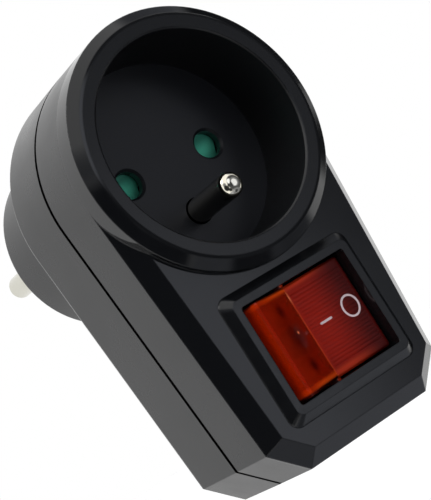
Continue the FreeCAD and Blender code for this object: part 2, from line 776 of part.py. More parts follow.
def make_contact_blade(pole_y):
    """See-saw contact on its terminal, with the rivet that closes the circuit."""
    z = blade_pivot_height
    half = blade_width / 2
    blade = block(-blade_half_length, blade_half_length, pole_y - half, pole_y + half,
                  z, z + blade_thickness)
    rivet = rod(rivet_x, pole_y, z - rivet_height, z, rivet_radius)
    return tilt(join([blade, rivet]), z, -blade_swing)


def rocker_profile(inset, bottom):
    """Half outline points of the rocker's section, right of the crease, drawn in by an
    inset: crease, top corner, start of the end's curve, its middle and its foot."""
    swing = math.radians(rocker_swing)
    reach = rocker_reach - inset
    corner_z = rocker_shoulder - inset * rocker_wall_slant
    corner_x = reach / math.cos(swing) - corner_z * math.tan(swing)
    start = Vector(reach * math.cos(swing), 0, reach * math.sin(swing))
    crease = Vector(0, 0, rocker_valley - inset)
    foot_angle = math.radians(rocker_skirt_angle)
    foot = Vector(reach * math.cos(foot_angle), 0, -reach * math.sin(foot_angle))
    middle = Vector(reach, 0, 0)
    return crease, Vector(corner_x, 0, corner_z), start, middle, foot, Vector(foot.x, 0, bottom)


def rocker_prism(inset, bottom, width):
    """The section on both sides of the crease, drawn out along Y about the switch centre."""
    crease, corner, start, middle, foot, low = rocker_profile(inset, bottom)

    def other(point):
        return Vector(-point.x, 0, point.z)

    edges = [
        Part.LineSegment(crease, corner).toShape(),
        Part.LineSegment(corner, start).toShape(),
        Part.Arc(start, middle, foot).toShape(),
    ]
    if abs(low.z - foot.z) > 0.01:
        edges.append(Part.LineSegment(foot, low).toShape())
        edges.append(Part.LineSegment(low, other(low)).toShape())
        edges.append(Part.LineSegment(other(low), other(foot)).toShape())
    else:
        edges.append(Part.LineSegment(foot, other(foot)).toShape())
    edges.append(Part.Arc(other(foot), other(middle), other(start)).toShape())
    edges.append(Part.LineSegment(other(start), other(corner)).toShape())
    edges.append(Part.LineSegment(other(corner), crease).toShape())
    prism = Part.Face(Part.Wire(edges)).extrude(Vector(0, width, 0))
    prism.translate(Vector(0, switch_y - width / 2, pivot_height))
    return prism


def make_rocker():
    """Hollow transparent rocker with two wings, trunnions and a barrel for each plunger."""
    crease, corner, start, _, foot, _ = rocker_profile(0, 0)
    rocker = rocker_prism(0, foot.z, rocker_width)
    top_edges = []
    for edge in rocker.Edges:
        box = edge.BoundBox
        long_side = box.YLength < 0.01 and box.ZMin > pivot_height + start.z - 0.01
        end_corner = box.YLength > 1 and abs(box.ZMin - pivot_height - corner.z) < 0.01
        if long_side or end_corner:
            top_edges.append(edge)
    rocker = rocker.makeChamfer(rocker_edge_chamfer, top_edges)
    rocker = rocker.cut(rocker_prism(rocker_wall, -barrel_reach - past,
                                     rocker_width - 2 * rocker_wall))

    angle = math.degrees(math.atan2(corner.z - crease.z, corner.x))
    run = corner.x / math.cos(math.radians(angle))
    count = int((rocker_width - 2 * rib_margin) / rib_pitch)
    first_y = switch_y - (count - 1) * rib_pitch / 2
    above = rib_depth / 8
    cuts = []
    for index in range(count):
        y = first_y + index * rib_pitch
        notch = Part.makePolygon([
            Vector(rib_start, y, -rib_depth),
            Vector(rib_start, y - rib_depth, above),
            Vector(rib_start, y + rib_depth, above),
            Vector(rib_start, y, -rib_depth),
        ])
        cut = Part.Face(notch).extrude(Vector(run - rib_start - rib_end, 0, 0))
        cut.rotate(Vector(0, 0, 0), Vector(0, 1, 0), -angle)
        cut.translate(Vector(0, 0, pivot_height + crease.z))
        cuts.append(cut)
    rocker = rocker.cut(Part.makeCompound(cuts))

    adds = []
    half = rocker_width / 2
    for sign in (-1, 1):
        barrel_y = switch_y + sign * pole_offset
        adds.append(rod(0, barrel_y, pivot_height - barrel_reach,
                        pivot_height + rocker_valley - root_overlap, barrel_radius))
        ends = sorted((switch_y + sign * (half - root_overlap),
                       switch_y + sign * (half + trunnion_reach)))
        adds.append(rod_along_y(0, pivot_height, ends[0], ends[1], trunnion_radius))
    rocker = join([rocker] + adds)
    for sign in (-1, 1):
        barrel_y = switch_y + sign * pole_offset
        rocker = rocker.cut(rod(0, barrel_y, pivot_height - barrel_reach - past,
                                pivot_height + rocker_valley - rocker_wall, barrel_bore))
    return tilt(rocker, pivot_height, rocker_swing)


def make_plunger(pole_y):
    """Round-nosed plunger in a barrel of the rocker."""
    nose_start = Vector(0, pole_y, pivot_height - plunger_reach + plunger_tip_round)
    stem = rod(0, pole_y, nose_start.z, pivot_height - plunger_top, plunger_radius)
    nose = turned_tip(nose_start, Vector(0, 0, -1), plunger_radius, plunger_tip_round, tip_tapers)
    return tilt(join([stem] + nose), pivot_height, rocker_swing)


def make_plunger_springs():
    """The two equal springs that press the plungers out of their barrels."""
    top = pivot_height + rocker_valley - rocker_wall - press_gap
    bottom = pivot_height - plunger_top + press_gap
    springs = []
    for pole_y in poles.values():
        spring = coil_spring(Vector(0, pole_y, bottom), Vector(0, 0, 1), top - bottom,
                             plunger_spring_radius, plunger_spring_wire, plunger_spring_turns)
        springs.append(tilt(spring, pivot_height, rocker_swing))
    return Part.makeCompound(springs)


def make_neon_lamp():
    """Small glow lamp lying between the two barrels."""
    z = pivot_height - lamp_drop
    half = lamp_length / 2 - lamp_tip_round
    glass = [rod_along_y(0, z, switch_y - half, switch_y + half, lamp_radius)]
    for sign in (-1, 1):
        glass += turned_tip(Vector(0, switch_y + sign * half, z), Vector(0, sign, 0),
                            lamp_radius, lamp_tip_round, tip_tapers)
    return tilt(join(glass), pivot_height, rocker_swing)


def make_lamp_resistor():
    """Series resistor under the right wing, with a lead to each end of the lamp."""
    crease, corner, _, _, _, _ = rocker_profile(rocker_wall, 0)
    slope = (corner.z - crease.z) / corner.x
    z = pivot_height + crease.z + resistor_x * slope - resistor_radius - fit_gap
    y_end = resistor_length / 2
    body = rod_along_y(resistor_x, z, switch_y - y_end, switch_y + y_end, resistor_radius)
    pieces = [body]
    lamp_z = pivot_height - lamp_drop
    for sign in (-1, 1):
        y = switch_y + sign * (y_end - lead_inset)
        begin = Vector(resistor_x - root_overlap, y, z)
        finish = Vector(lamp_radius + lead_radius, y, lamp_z + lead_rise)
        run = finish - begin
        pieces.append(Part.makeCylinder(lead_radius, run.Length, begin, run))
    return tilt(join(pieces), pivot_height, rocker_swing)


def stand_up(shape):
    """From the drawing, which lies on its back, to the adapter as it hangs on a wall."""
    standing = shape.copy()
    standing.rotate(Vector(0, 0, 0), Vector(1, 0, 0), 90)
    return standing


def make_all():
    """Every piece of the adapter by its name."""
    parts = {
        "front_shell": make_front_shell(),
        "rear_shell": make_rear_shell(),
        "housing_screws": make_housing_screws(),
        "socket_earth_pin": make_socket_earth_pin(),
        "plug_earth_tube": make_plug_earth_tube(),
        "earth_bridge": make_earth_bridge(),
        "contact_carrier": make_contact_carrier(),
        "shutter_slider": make_shutter_slider(),
        "shutter_spring": make_shutter_spring(),
        "shutter_retainer": make_shutter_retainer(),
        "right_supply_bar": make_supply_bar(1, poles["upper"]),
        "left_supply_bar": make_supply_bar(-1, poles["lower"]),
        "right_load_bar": make_right_load_bar(),
        "left_load_bar": make_left_load_bar(),
        "switch_housing": make_switch_housing(),
        "rocker": make_rocker(),
        "neon_lamp": make_neon_lamp(),
        "lamp_resistor": make_lamp_resistor(),
        "plunger_springs": make_plunger_springs(),
    }
    for name, side in sides.items():
        parts[name + "_plug_pin"] = make_plug_pin(side)
        parts[name + "_socket_contact"] = make_socket_contact(side)
    for name, pole_y in poles.items():
        parts[name + "_common_terminal"] = make_common_terminal(pole_y)
        parts[name + "_load_terminal"] = make_load_terminal(pole_y)
        parts[name + "_contact_blade"] = make_contact_blade(pole_y)
        parts[name + "_plunger"] = make_plunger(pole_y)
    return parts


os.makedirs("parts", exist_ok=True)
for node, shape in make_all().items():
    solid_count = len(shape.Solids)
    print("%-24s solids %d  valid %s  volume %.1f" % (node, solid_count, shape.isValid(), shape.Volume))
    stand_up(shape).exportStep("parts/%s.step" % node)
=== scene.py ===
# %% [markdown]
# # A switched plug adapter, dressed for its portrait
#
# The solids of this adapter are finished: two black shells, a socket recess, a rocker switch
# and the metal inside. This lesson gives each of them the surface that the real one has, adds
# the few thin things that are too fine for a solid, and lights them. The solids are loaded
# first and are never moved.

# %% Load the solids
import bmesh
import bpy
import math
import numpy as np
from mathutils import Matrix, Vector


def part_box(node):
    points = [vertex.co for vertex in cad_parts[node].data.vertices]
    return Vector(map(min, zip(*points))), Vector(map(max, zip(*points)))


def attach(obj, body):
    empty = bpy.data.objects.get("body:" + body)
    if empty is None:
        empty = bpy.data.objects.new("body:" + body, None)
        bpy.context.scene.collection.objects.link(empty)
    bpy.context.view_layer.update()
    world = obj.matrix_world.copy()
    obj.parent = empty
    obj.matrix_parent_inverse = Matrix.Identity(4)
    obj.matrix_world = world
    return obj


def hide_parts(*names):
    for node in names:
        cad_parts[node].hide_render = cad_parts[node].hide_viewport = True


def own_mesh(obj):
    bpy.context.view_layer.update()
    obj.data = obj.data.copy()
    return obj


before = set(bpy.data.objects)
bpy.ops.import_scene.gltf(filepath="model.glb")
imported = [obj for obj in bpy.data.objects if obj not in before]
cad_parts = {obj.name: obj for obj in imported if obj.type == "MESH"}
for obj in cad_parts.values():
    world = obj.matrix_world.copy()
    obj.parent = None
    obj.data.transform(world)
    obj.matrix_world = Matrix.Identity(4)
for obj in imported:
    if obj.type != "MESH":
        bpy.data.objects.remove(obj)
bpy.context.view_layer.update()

# %% [markdown]
# ## The camera
#
# A photograph taken from close by shows strong perspective, and one taken from far away
# shows nearly none. Here the rim of the socket, the outline and the switch were compared
# with the photograph until place, direction and focal length agreed. The camera stands
# to the left of the adapter, a little below its middle, and is rolled so that the tail
# points down to the right. It is set by its three directions, which leaves no room for
# the surprises of stacked angles.

# %% Place the camera
camera_place = Vector((-0.181984, -0.294011, -0.039413))
looking = Vector((0.54474, 0.83602, 0.06580)).normalized()
upward = Vector((0.41625, -0.33766, 0.84423))
rightward = looking.cross(upward).normalized()
upward = rightward.cross(looking).normalized()

focal_length_mm = 133.45
lens = bpy.data.cameras.new("portrait_lens")
lens.lens = focal_length_mm
lens.sensor_width = 36.0
lens.sensor_fit = "AUTO"
lens.clip_start = 0.01
camera = bpy.data.objects.new("portrait_camera", lens)
bpy.context.collection.objects.link(camera)
turned = Matrix((rightward, upward, -looking)).transposed().to_4x4()
camera.matrix_world = Matrix.Translation(camera_place) @ turned
bpy.context.scene.camera = camera
switch_place = Vector((0, -0.03, -0.039))
print("camera to switch: %.0f mm" % ((camera_place - switch_place).length * 1000))

# %% [markdown]
# ## A studio for a black object
#
# Black plastic has almost no colour of its own, so what the eye sees on it is the room.
# The photograph was taken in a white tent, with a dark wall in front where the camera looks
# in. The side walls mirror the white cloth, the front mirrors the dark wall, and the slanted
# edge round the tail mirrors the opening for the lens. Boards and boxes round the object
# could be that room. A world shader is simpler: its brightness follows the direction, white
# all round with a few soft patches. To find a patch, follow a ray from the camera to a flat
# of the object and on to where it is mirrored: the tone of that flat is the tone of the
# room there. The patches belong to the room, not to the camera, so they stay put in any
# other view. What the camera sees past the object, or through its clear parts, is white.

# %% Build the white tent
scene = bpy.context.scene
scene.view_settings.view_transform = "Standard"
tent = bpy.data.worlds.new("white_tent")
tent.use_nodes = True
scene.world = tent
tent_nodes = tent.node_tree.nodes
tent_links = tent.node_tree.links
tent_nodes.clear()
way_out = tent_nodes.new("ShaderNodeTexCoord").outputs["Generated"]


def toward(sideways, upwards):
    """A direction: degrees to the right of straight out of the socket, then degrees up."""
    side, up = math.radians(sideways), math.radians(upwards)
    return Vector((math.sin(side) * math.cos(up), -math.cos(side) * math.cos(up), math.sin(up)))


def soft_patch(direction, narrow, wide):
    """1 within a cone about a direction, falling to 0 outside a wider cone. The value is a
    smooth step of the cosine between the ray and the patch's direction."""
    near = tent_nodes.new("ShaderNodeVectorMath")
    near.operation = "DOT_PRODUCT"
    near.inputs[1].default_value = direction
    tent_links.new(way_out, near.inputs[0])
    ramp = tent_nodes.new("ShaderNodeMapRange")
    ramp.interpolation_type = "SMOOTHSTEP"
    ramp.inputs["From Min"].default_value = math.cos(math.radians(wide))
    ramp.inputs["From Max"].default_value = math.cos(math.radians(narrow))
    tent_links.new(near.outputs["Value"], ramp.inputs["Value"])
    return ramp.outputs["Result"]


blue_cast = (1.0, 1.04, 1.15)


def patched(colour, direction, narrow, wide, shade):
    """A colour that turns to a shade of slightly blue grey inside a soft patch."""
    mix = tent_nodes.new("ShaderNodeMix")
    mix.data_type = "RGBA"
    tent_links.new(soft_patch(direction, narrow, wide), mix.inputs["Factor"])
    tent_links.new(colour, mix.inputs["A"])
    mix.inputs["B"].default_value = (*[shade * part for part in blue_cast], 1.0)
    return mix.outputs["Result"]


print("straight out of the socket:", tuple(toward(0, 0)))

# %% Darken the tent where the object mirrors it dark
# Each row: degrees to the right, degrees up, half angle where the patch is full, half angle
# where it ends, and its shade.
tent_patches = (
    (30, 0, 46, 60, 0.07),       # the dark wall in front
    (33, 3, 15, 24, 0.20),       # its middle, mirrored by the rim and the tail's front
    (26, -1, 6, 12, 0.85),       # a bright gap, mirrored by the tip of the earth pin
    (35, -60, 24, 36, 0.20),     # the table in front, mirrored by the low slopes
    (40, -55, 8, 14, 0.04),
    (2, -54, 6, 12, 0.33),
    (82, -42, 8, 14, 0.15),
    (95, -56, 7, 13, 0.44),      # mirrored by the lower slope of the switch frame
    (-52, 18, 8, 20, 0.20),      # mirrored by the collar's left bevel
    (-50, -12, 20, 27, 0.02),    # the opening for the lens, mirrored by the left chamfer
    (-26, -36, 11, 17, 0.03),
    (92, 0, 12, 19, 0.01),       # mirrored by the collar's right bevel
    (95, 50, 9, 18, 0.24),
    (9, 1, 10, 15, 0.04),        # mirrored by the marked wing of the rocker
    (102, 20, 14, 20, 0.02),
    (1, 24, 13, 19, 1.0),        # a second bright gap, mirrored by the tip of the pin
    (-17, 0, 9, 15, 0.05),       # mirrored by the outer corner of the rocker
    (-43, -68, 10, 17, 0.40))    # mirrored by the cut corner of the tail
walls = tent_nodes.new("ShaderNodeRGB").outputs["Color"]
walls.default_value = (1.0, 1.0, 1.0, 1.0)
for sideways, upwards, narrow, wide, shade in tent_patches:
    walls = patched(walls, toward(sideways, upwards), narrow, wide, shade)
print("patches in the tent", len(tent_patches))

# %% Show the tent to the object and white to the camera
tent_strength = 1.05
tent_light = tent_nodes.new("ShaderNodeBackground")
tent_light.inputs["Strength"].default_value = tent_strength
tent_links.new(walls, tent_light.inputs["Color"])
backdrop = tent_nodes.new("ShaderNodeBackground")
backdrop.inputs["Color"].default_value = (1.0, 1.0, 1.0, 1.0)
seen = tent_nodes.new("ShaderNodeLightPath")
choose = tent_nodes.new("ShaderNodeMixShader")
either_ray = tent_nodes.new("ShaderNodeMath")
either_ray.operation = "MAXIMUM"
tent_links.new(seen.outputs["Is Camera Ray"], either_ray.inputs[0])
tent_links.new(seen.outputs["Is Transmission Ray"], either_ray.inputs[1])
tent_links.new(either_ray.outputs["Value"], choose.inputs["Fac"])
tent_links.new(tent_light.outputs["Background"], choose.inputs[1])
tent_links.new(backdrop.outputs["Background"], choose.inputs[2])
sky = tent_nodes.new("ShaderNodeOutputWorld")
tent_links.new(choose.outputs["Shader"], sky.inputs["Surface"])
print("tent nodes", len(tent_nodes))

# %% [markdown]
# ## Lamp and floor
#
# The tent lights everything evenly. One large soft box, high on the left, adds a direction:
# it draws the light along the upper edges and puts a glint on the pin. A small lamp would
# give hard sparks that the photograph doesn't have. The floor is a plain pale sheet well
# below the adapter, which hangs free as it does in the picture. To the camera the sheet is
# a little brighter than its paper, so that it runs into the white cloth without an edge,
# and it still takes the adapter's soft shadow. The sheet would hide the lower half of the
# tent from the black plastic, so mirrored rays pass through it and see the tent instead.

# %% Hang the soft box


def soft_box(name, place, target, width, height, power):
    """An area lamp at a place, turned to face a target."""
    light = bpy.data.lights.new(name, "AREA")
    light.shape = "RECTANGLE"
    light.size = width
    light.size_y = height
    light.energy = power
    lamp = bpy.data.objects.new(name, light)
    bpy.context.collection.objects.link(lamp)
    aim = (Vector(target) - Vector(place)).to_track_quat("-Z", "Y")
    lamp.matrix_world = Matrix.Translation(Vector(place)) @ aim.to_matrix().to_4x4()
    return lamp


high_left = soft_box("high_left_box", place=(-0.50, -0.10, 0.60), target=(0, -0.02, -0.01),
                     width=0.35, height=0.35, power=2.5)
print("soft box at", [round(v, 2) for v in high_left.matrix_world.translation])

# %% Lay the floor
same_point, sliver = 1e-7, 1e-8


def grid_piece(name, points, closed_round=False):
    """A mesh from a grid of points: each square of four neighbours is one face. With
    closed_round the last row joins the first, so that a tube or ring has no seam. Points
    that fall together at a pole are merged, and then all faces are turned outward."""
    rows, columns = points.shape[:2]
    number = np.arange(rows * columns).reshape(rows, columns)
    if closed_round:
        number = np.vstack([number, number[:1]])
    faces = np.stack([number[:-1, :-1], number[:-1, 1:], number[1:, 1:], number[1:, :-1]], axis=-1)
    mesh = bpy.data.meshes.new(name)
    mesh.from_pydata(points.reshape(-1, 3).tolist(), [], faces.reshape(-1, 4).tolist())
    cleaner = bmesh.new()
    cleaner.from_mesh(mesh)
    bmesh.ops.remove_doubles(cleaner, verts=cleaner.verts, dist=same_point)
    bmesh.ops.dissolve_degenerate(cleaner, edges=cleaner.edges, dist=sliver)
    bmesh.ops.recalc_face_normals(cleaner, faces=cleaner.faces)
    cleaner.to_mesh(mesh)
    cleaner.free()
    mesh.shade_smooth()
    piece = bpy.data.objects.new(name, mesh)
    bpy.context.collection.objects.link(piece)
    return piece


def floor_sheet(half_side, height, steps):
    """A square flat sheet: two equal rows of places, one across and one along."""
    row = np.linspace(-half_side, half_side, steps)
    across, along = np.meshgrid(row, row)
    return np.stack([across, along, np.full_like(across, height)], axis=-1)


floor = grid_piece("pale_floor", floor_sheet(half_side=3.0, height=-0.13, steps=7))
print("floor faces", len(floor.data.polygons))

# %% [markdown]
# ## Words for making finishes
#
# Every finish below is a shader with a little texture worked out from the place on the
# object, in metres. The same few steps come back each time: start a material, make a fine
# noise, squeeze it between two values, and turn it into a shallow relief. They are written
# once here. The noises are three-dimensional, so they run through a piece as grain runs
# through wood, and no unwrapping is needed.

# %% Small helpers for the finishes


class Finish:
    """A node material under construction, with its main shader and its place on the object."""

    def __init__(self, name):
        self.material = bpy.data.materials.new(name)
        self.material.use_nodes = True
        self.nodes = self.material.node_tree.nodes
        self.links = self.material.node_tree.links
        self.shader = self.nodes["Principled BSDF"]
        self.place = self.nodes.new("ShaderNodeTexCoord").outputs["Object"]

    def set(self, **inputs):
        """Plain values on the main shader's own sockets, with _ for a space."""
        for name, value in inputs.items():
            self.shader.inputs[name.replace("_", " ")].default_value = value

    def feed(self, name, value):
        """A worked-out value into an input of the main shader."""
        self.links.new(value, self.shader.inputs[name])

    def fed(self, name):
        """The value that an input of the main shader is fed with so far."""
        return self.shader.inputs[name].links[0].from_socket

    def put(self, value, socket):
        """A worked-out value is linked to a socket, and a plain one is set on it."""
        if isinstance(value, bpy.types.NodeSocket):
            self.links.new(value, socket)
        else:
            socket.default_value = value

    def axes(self):
        """The place on the object as three values: to the right, toward the wall and up."""
        node = self.nodes.new("ShaderNodeSeparateXYZ")
        self.links.new(self.place, node.inputs["Vector"])
        return node.outputs["X"], node.outputs["Y"], node.outputs["Z"]

    def noise(self, size, detail=3.0, stretch=(1, 1, 1)):
        """A noise whose lumps are about that many metres across, stretched along the axes."""
        spread = self.nodes.new("ShaderNodeMapping")
        spread.inputs["Scale"].default_value = stretch
        self.links.new(self.place, spread.inputs["Vector"])
        node = self.nodes.new("ShaderNodeTexNoise")
        node.inputs["Scale"].default_value = 1.0 / size
        node.inputs["Detail"].default_value = detail
        self.links.new(spread.outputs["Vector"], node.inputs["Vector"])
        return node.outputs["Fac"]

    def squeeze(self, value, low, high, start=0.3, end=0.7):
        """A value between start and end, moved to lie between low and high."""
        node = self.nodes.new("ShaderNodeMapRange")
        node.inputs["From Min"].default_value = start
        node.inputs["From Max"].default_value = end
        node.inputs["To Min"].default_value = low
        node.inputs["To Max"].default_value = high
        self.links.new(value, node.inputs["Value"])
        return node.outputs["Result"]

    def soft_step(self, value, start, end):
        """0 up to the start, 1 from the end on, and a smooth step between them."""
        node = self.nodes.new("ShaderNodeMapRange")
        node.interpolation_type = "SMOOTHSTEP"
        node.inputs["From Min"].default_value = start
        node.inputs["From Max"].default_value = end
        self.links.new(value, node.inputs["Value"])
        return node.outputs["Result"]

    def sums(self, operation, first, second=0.0):
        """One step of arithmetic on one or two values, which may be plain numbers."""
        node = self.nodes.new("ShaderNodeMath")
        node.operation = operation
        self.put(first, node.inputs[0])
        self.put(second, node.inputs[1])
        return node.outputs["Value"]

    def vector_step(self, operation, first, second=(0.0, 0.0, 0.0)):
        """One step of arithmetic on one or two vectors, which may be plain triples."""
        node = self.nodes.new("ShaderNodeVectorMath")
        node.operation = operation
        self.put(first, node.inputs[0])
        self.put(second, node.inputs[1])
        return node.outputs

    def mixed(self, kind, factor, first, second):
        """The first where a factor is 0, the second where it is 1, and a mixture between."""
        node = self.nodes.new("ShaderNodeMix")
        node.data_type = kind
        self.put(factor, node.inputs["Factor"])
        self.put(first, node.inputs["A"])
        self.put(second, node.inputs["B"])
        return node.outputs["Result"]

    def zone(self, where, outside, inside):
        """A value that is one thing inside a zone and another outside it."""
        return self.mixed("FLOAT", where, outside, inside)

    def blend(self, factor, first, second):
        """A colour from first to second by a factor; both may be plain triples."""
        ends = [(*end, 1.0) if isinstance(end, tuple) else end for end in (first, second)]
        return self.mixed("RGBA", factor, *ends)

    def below(self, value, limit):
        """1 where a value lies below a limit, and 0 elsewhere."""
        return self.sums("LESS_THAN", value, limit)

    def both(self, first, second):
        """1 where two zones overlap."""
        return self.sums("MULTIPLY", first, second)

    def apart(self, value, middle):
        """How far a value lies from a middle one."""
        return self.sums("ABSOLUTE", self.sums("SUBTRACT", value, middle))

    def near_value(self, value, middle, reach):
        """1 where a value equals a middle one, falling smoothly to 0 at a distance from it."""
        away = self.apart(value, middle)
        return self.sums("SUBTRACT", 1.0, self.soft_step(away, 0.0, reach))

    def near_point(self, centre, reach):
        """1 at a point on the object, falling smoothly to 0 at a distance from it."""
        away = self.vector_step("DISTANCE", self.place, centre)["Value"]
        return self.sums("SUBTRACT", 1.0, self.soft_step(away, 0.0, reach))

    def rounded_edges(self, radius):
        """The way the surface faces, with its sharp edges shown rounded by a radius."""
        node = self.nodes.new("ShaderNodeBevel")
        node.samples = 4
        self.put(radius, node.inputs["Radius"])
        return node.outputs["Normal"]

    def relief(self, height, depth, facing=None):
        """A shallow relief, its depth in metres, on top of the way the surface faces."""
        bump = self.nodes.new("ShaderNodeBump")
        bump.inputs["Strength"].default_value = 1.0
        bump.inputs["Distance"].default_value = depth
        self.links.new(height, bump.inputs["Height"])
        if facing is not None:
            self.links.new(facing, bump.inputs["Normal"])
        self.links.new(bump.outputs["Normal"], self.shader.inputs["Normal"])


def wear(finish, *names):
    """These solids get this finish in all their material slots."""
    for name in names:
        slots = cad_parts[name].material_slots
        for place in slots:
            place.material = finish.material
        if not slots:
            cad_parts[name].data.materials.append(finish.material)
    print(finish.material.name, "on", ", ".join(names))


print("steps of a finish:", ", ".join(step for step in vars(Finish) if step[0] != "_"))

# %% [markdown]
# ## Moulded black housing
#
# Both shells come from one steel mould in black plastic. The mould is polished on the
# collar and on the front of the tail, blasted to a fine satin on the side walls, and left
# duller inside the recess, where a plug would scratch a gloss at once. Three materials with
# hard borders would be one way. One material that asks where it is, by its distance from
# the socket's axis and its depth, gives the same zones and keeps the grain continuous.
# The seam between the shells is a groove 0.3 mm deep, and the tent would light it from end
# to end. A real groove swallows light, so here it is near black: as a metal with almost no
# colour it has no gloss of its own.

# %% Zones of the two shells
# Distances from the socket's axis, and depths, which count toward the wall and are negative
# in front of it. Each border lies close to the edge that it belongs to.
recess_border = 0.0203
rim_border = 0.0229
recess_back = -0.0165
recess_floor = -0.0176
front_start = -0.0255
rim_start = -0.0312
seam_depth = -0.0148
seam_half_width = 0.00044

housing = Finish("moulded_black")
side_place, depth_place, height_place = housing.axes()
from_axis = housing.sums("SQRT", housing.sums(
    "ADD", housing.sums("MULTIPLY", side_place, side_place),
    housing.sums("MULTIPLY", height_place, height_place)))
in_recess = housing.both(housing.below(from_axis, recess_border),
                         housing.below(depth_place, recess_back))
on_floor = housing.both(in_recess, housing.sums("GREATER_THAN", depth_place, recess_floor))
on_rim = housing.both(housing.below(from_axis, rim_border),
                      housing.below(depth_place, rim_start))
on_front = housing.below(depth_place, front_start)
in_seam = housing.below(housing.apart(depth_place, seam_depth), seam_half_width)
print("dark band along the seam: %.2f mm" % (2000 * seam_half_width))

# %% Finish of the two shells
rim_roughness, seam_roughness = 0.20, 0.8
grain_depth, polished_share = 0.000012, 0.12
edge_radius = 0.0003

grain = housing.noise(0.00035, 2.0)
cloud = housing.noise(0.012, 3.0)
satin = housing.squeeze(cloud, 0.24, 0.33)
polish = housing.squeeze(cloud, 0.07, 0.11)
rough = housing.zone(on_front, satin, polish)
rough = housing.zone(on_rim, rough, rim_roughness)
rough = housing.zone(in_recess, rough, housing.squeeze(grain, 0.34, 0.42))
housing.feed("Roughness", housing.zone(in_seam, rough, seam_roughness))
plastic = housing.blend(cloud, (0.0032, 0.0035, 0.0043), (0.0044, 0.0048, 0.0057))
# Painted light: the floor of the recess is a lighter black than its walls.
plastic = housing.blend(on_floor, plastic, (0.0077, 0.0084, 0.0113))
housing.feed("Base Color", housing.blend(in_seam, plastic, (0.0004, 0.0004, 0.0004)))
housing.feed("Metallic", in_seam)
grain_share = housing.zone(on_front, 1.0, polished_share)
housing.relief(housing.sums("MULTIPLY", grain, grain_share), grain_depth,
               housing.rounded_edges(housing.zone(in_recess, edge_radius, 0.0)))
housing.set(IOR=1.5)
wear(housing, "front_shell", "rear_shell")

# %% [markdown]
# ## Gloss black switch frame
#
# The switch is a bought part and is glossier than the housing: its sloping frame mirrors
# the red rocker. Inside, the moulding is plain. A very low roughness with a slow, almost
# invisible waviness is what sets a moulded gloss apart from lacquered glass.

# %% Finish of the switch body and the inner mouldings
bezel = Finish("gloss_black")
wave = bezel.noise(0.006, 1.0)
bezel.feed("Roughness", bezel.squeeze(bezel.noise(0.002, 3.0), 0.13, 0.19))
bezel.feed("Base Color", bezel.blend(wave, (0.0034, 0.0037, 0.0045), (0.0046, 0.0050, 0.0059)))
bezel.relief(wave, 0.000010, bezel.rounded_edges(0.00025))
bezel.set(IOR=1.5)
wear(bezel, "switch_housing")

inner = Finish("dull_black")
speck = inner.noise(0.0003, 4.0)
inner.feed("Roughness", inner.squeeze(speck, 0.45, 0.62))
inner.feed("Base Color", inner.blend(speck, (0.012, 0.012, 0.013), (0.02, 0.02, 0.021)))
inner.relief(speck, 0.000010)
wear(inner, "contact_carrier", "shutter_retainer")

# %% [markdown]
# ## Transparent red rocker
#
# The rocker is a hollow moulding of tinted clear plastic. Light enters it, is coloured on
# the way through the wall, falls on the lamp and the plungers and comes back the same way.
# Pure glass would show too much of the dark switch below; plain red paint would show
# nothing. The real plastic is a little milky, and a mix of transmission and a red body
# colour behaves in the same way. The smooth wing is clearer and has painted light, orange,
# where the light gathers along its long edges, and spots of painted shade where the two
# plungers and the lamp show through. Its outer end is a deeper red. The marked wing has fine
# ribs, is duller and has painted shade where it dips into the frame. The painted light along
# the edges is brightest beside the crease, and past the edges the sides have painted shade.
# Two small painted glints sit at the top of the crease and over the lamp. All of these are
# zones of one material, so that the crease between the wings can carry its own thin painted
# highlight.

# %% Zones of the rocker
# Places across the wings count from the crease, and are negative on the smooth wing. Places
# along the crease count from the plug's axis, and the long edges lie on both sides of a
# middle line.
middle_line = -0.0389
crease = 0.0001

ruby = Finish("clear_red")
flow = ruby.noise(0.004, 2.0)
across_wing, _, along_wing = ruby.axes()
outward = ruby.sums("MULTIPLY", across_wing, -1.0)
from_middle = ruby.apart(along_wing, middle_line)
on_marked = ruby.soft_step(across_wing, -0.0001, 0.0004)
frame_shade = ruby.soft_step(across_wing, 0.0030, 0.0108)
at_side = ruby.soft_step(from_middle, 0.0077, 0.0086)
shade_past_edge = ruby.soft_step(from_middle, 0.0087, 0.0092)
off_crease = ruby.soft_step(outward, 0.0030, 0.0095)
at_end = ruby.soft_step(outward, 0.0100, 0.0112)
at_crease = ruby.near_value(across_wing, crease, 0.00022)
# Painted highlights: a glint at the top of the crease and one over the lamp.
crease_glint = ruby.both(ruby.near_value(across_wing, crease, 0.00040),
                         ruby.near_value(along_wing, -0.0320, 0.0016))
lamp_glint = ruby.near_point((-0.0034, -0.0282, -0.0380), 0.00055)
glint = ruby.sums("MAXIMUM", lamp_glint, crease_glint)
print("rocker zones worked out in", len(ruby.nodes), "nodes")

# %% Finish of the rocker
# Each spot of painted shade, over the plungers, the lamp and the dark switch that show
# through the smooth wing: its place, how far it reaches and how dark it is.
painted_shade_spots = (
    ((-0.0046, -0.0288, -0.0334), 0.0020, 1.0),     # the upper plunger, showing through
    ((-0.0045, -0.0288, -0.0442), 0.0020, 1.0),     # the lower plunger, showing through
    ((-0.0042, -0.0286, -0.0386), 0.0034, 0.8),     # the lamp, showing through
    ((-0.0038, -0.0284, -0.0390), 0.0080, 0.5))     # the dark of the switch round them
clear_part = ruby.blend(flow, (0.74, 0.031, 0.0003), (0.84, 0.043, 0.0008))
for spot, reach, dark in painted_shade_spots:
    shadow = ruby.near_point(spot, reach)
    clear_part = ruby.blend(ruby.sums("MULTIPLY", shadow, dark), clear_part, (0.16, 0.002, 0.0))
clear_part = ruby.blend(at_end, clear_part, (0.56, 0.024, 0.0002))
